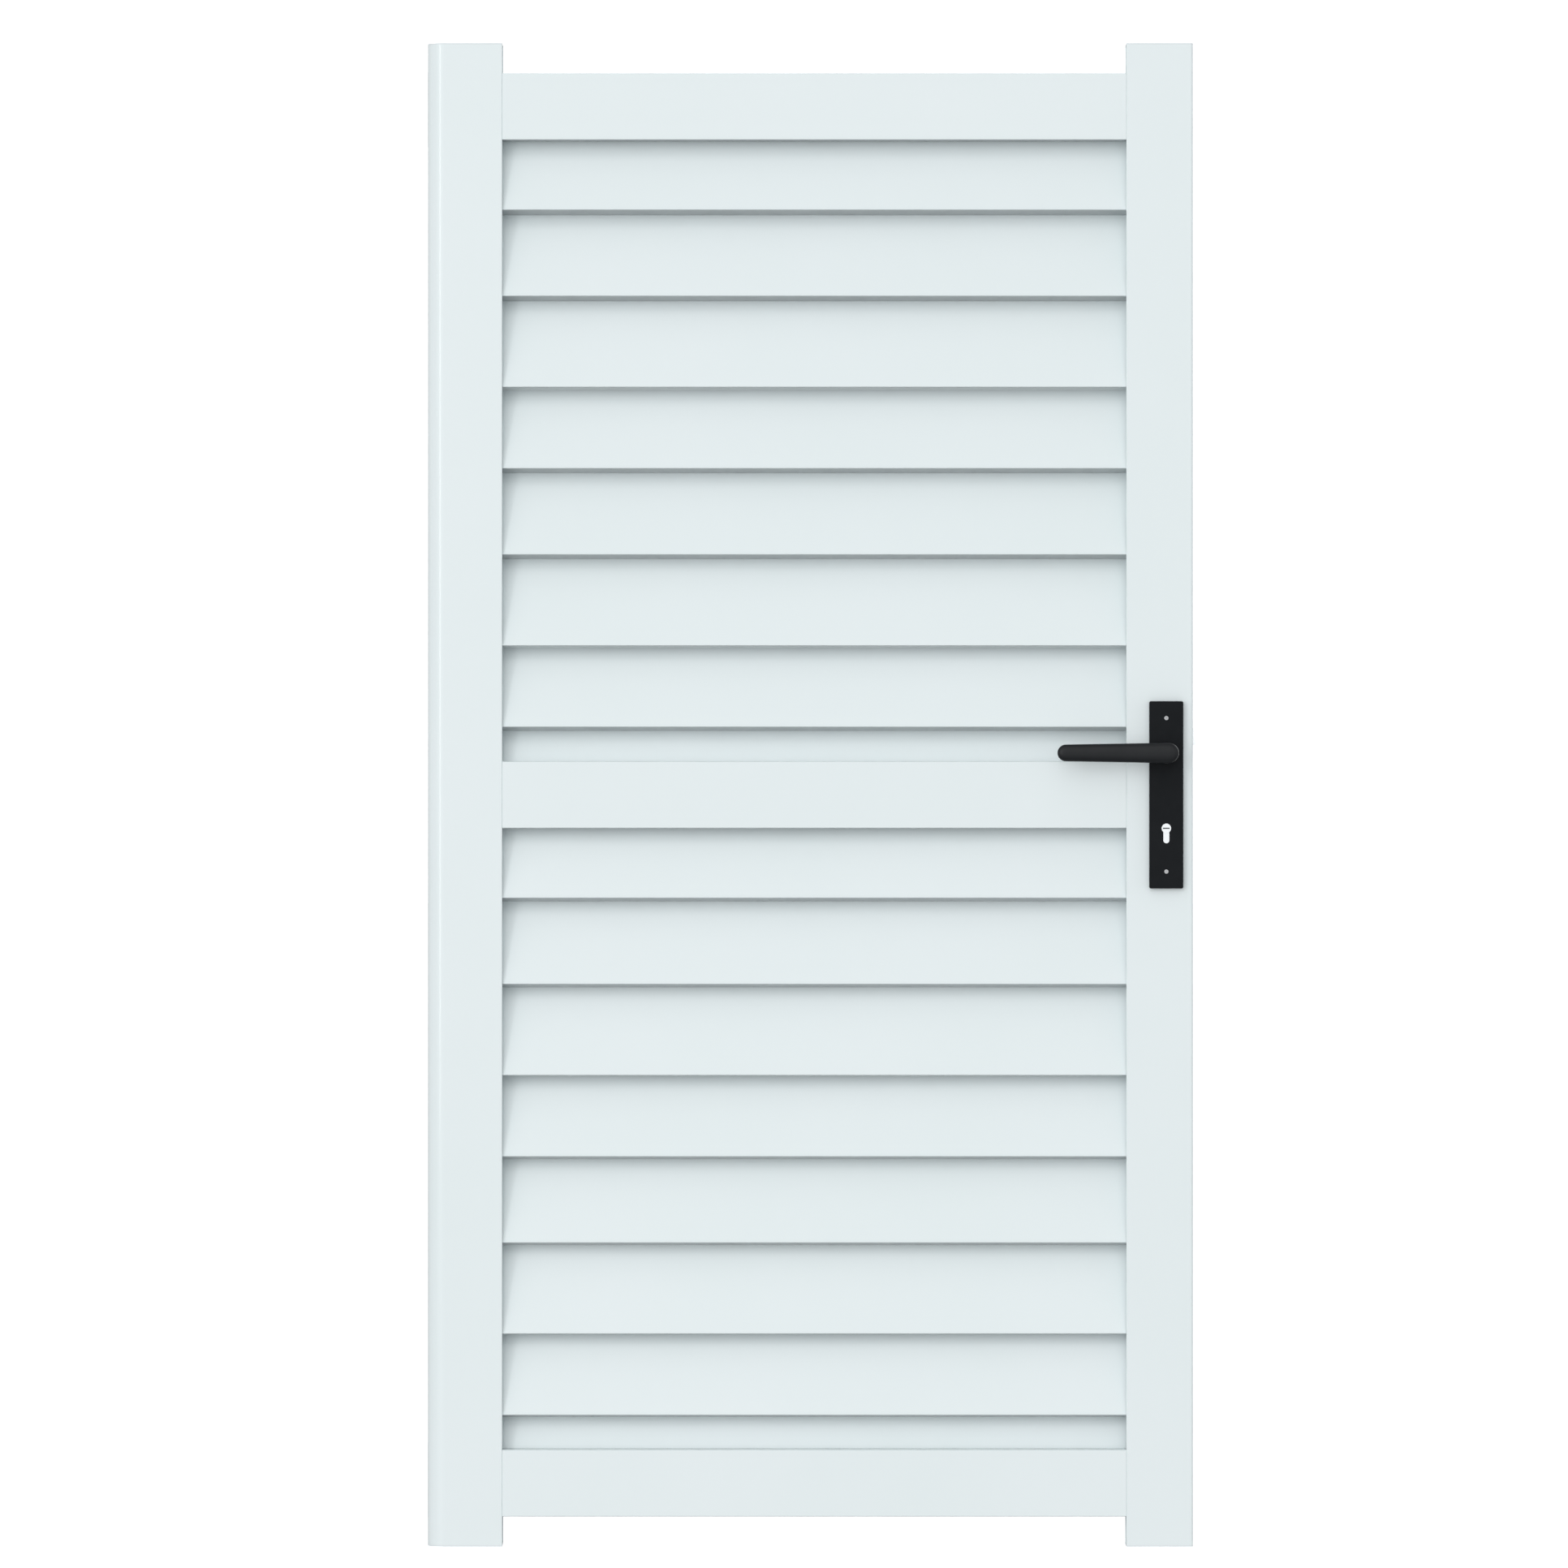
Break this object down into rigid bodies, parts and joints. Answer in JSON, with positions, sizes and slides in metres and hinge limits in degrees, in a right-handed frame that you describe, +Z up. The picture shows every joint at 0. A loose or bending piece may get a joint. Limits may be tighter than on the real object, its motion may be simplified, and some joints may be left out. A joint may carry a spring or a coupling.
{
  "type": "garden gate",
  "caption": "Tall white louvred garden gate leaf with rails, rear hinges, black lever handles and a key lock, hinged, latching and lockable.",
  "frame": {"origin": "middle of the lower hinge's four fixing holes, on the face that meets the pillar", "axes": "+X across the leaf from the hinge side to the lock side, +Y towards the garden (the way the leaf opens), +Z up"},
  "size_m": [0.9275, 0.158, 1.8],
  "materials": {
    "white_powder_coat": "satin powder coat",
    "black_powder_coat": "fine satin powder coat",
    "nickel_plate": "satin nickel",
    "stainless_steel": "brushed",
    "zinc_plated_steel": "bright zinc",
    "cast_aluminium": "as cast",
    "white_nylon": "moulded",
    "black_nylon": "moulded",
    "spring_steel": "drawn wire",
    "brass": "machined"
  },
  "bodies": {
    "pillar_brackets": {"top_pillar_hinge": "white_powder_coat", "bottom_pillar_hinge": "white_powder_coat", "hinge_pins": "stainless_steel"},
    "leaf": {"hinge_stile": "white_powder_coat", "lock_stile": "white_powder_coat", "hinge_stile_caps": "white_nylon", "lock_stile_caps": "white_nylon", "top_rail": "white_powder_coat", "middle_rail": "white_powder_coat", "bottom_rail": "white_powder_coat", "rail_connectors": "cast_aluminium", "rail_screws": "stainless_steel", "stile_screws": "stainless_steel", "top_leaf_hinge": "white_powder_coat", "bottom_leaf_hinge": "white_powder_coat", "hinge_bushes": "white_nylon", "hinge_screws": "stainless_steel", "front_handle_plate": "black_powder_coat", "back_handle_plate": "black_powder_coat", "plate_bolts": "stainless_steel", "sleeve_nuts": "stainless_steel", "front_return_spring": "spring_steel", "back_return_spring": "spring_steel", "lever_bushes": "black_nylon", "lock_case": "zinc_plated_steel", "lock_case_cover": "zinc_plated_steel", "lock_faceplate": "stainless_steel", "faceplate_screws": "stainless_steel", "faceplate_clips": "zinc_plated_steel", "latch_spring": "spring_steel", "cylinder_body": "nickel_plate", "cylinder_screw": "zinc_plated_steel", "upper_plank_1": "white_powder_coat", "upper_plank_2": "white_powder_coat", "upper_plank_3": "white_powder_coat", "lower_plank_1": "white_powder_coat", "lower_plank_2": "white_powder_coat", "lower_plank_3": "white_powder_coat"},
    "handle": {"front_lever": "black_powder_coat", "back_lever": "black_powder_coat", "lever_spindle": "zinc_plated_steel", "lever_grub_screws": "zinc_plated_steel", "lock_follower": "zinc_plated_steel"},
    "latch": {"latch_bolt": "nickel_plate"},
    "bolt": {"deadbolt": "nickel_plate"},
    "key_core": {"front_plug": "nickel_plate", "back_plug": "nickel_plate", "cylinder_cam": "brass"}
  },
  "joints": [
    {"name": "gate_swing", "type": "hinge", "parent": "pillar_brackets", "child": "leaf", "pos_m": [0.01, -0.029, 0], "axis": [0, 0, 1], "range_deg": [0, 95]},
    {"name": "handle_turn", "type": "hinge", "parent": "leaf", "child": "handle", "pos_m": [0.886, -0.061, 0.874], "axis": [0, -1, 0], "range_deg": [0, 40], "stiffness_Nm_per_rad": 1.2, "springref_deg": -28.65, "deforming": ["front_return_spring", "back_return_spring"]},
    {"name": "latch_slide", "type": "slide", "parent": "leaf", "child": "latch", "axis": [-1, 0, 0], "range_m": [0, 0.01], "stiffness_N_per_m": 300, "springref_m": -0.012, "deforming": ["latch_spring"]},
    {"name": "key_turn", "type": "hinge", "parent": "leaf", "child": "key_core", "pos_m": [0.886, -0.061, 0.784], "axis": [0, -1, 0], "range_deg": [0, 360]},
    {"name": "deadbolt_throw", "type": "slide", "parent": "leaf", "child": "bolt", "axis": [1, 0, 0], "range_m": [0, 0.02]}
  ],
  "couplings": [
    {"joint": "latch_slide", "follows": "handle_turn", "m_per_rad": 0.014323},
    {"joint": "key_turn", "follows": "deadbolt_throw", "rad_per_m": 314.13}
  ]
}
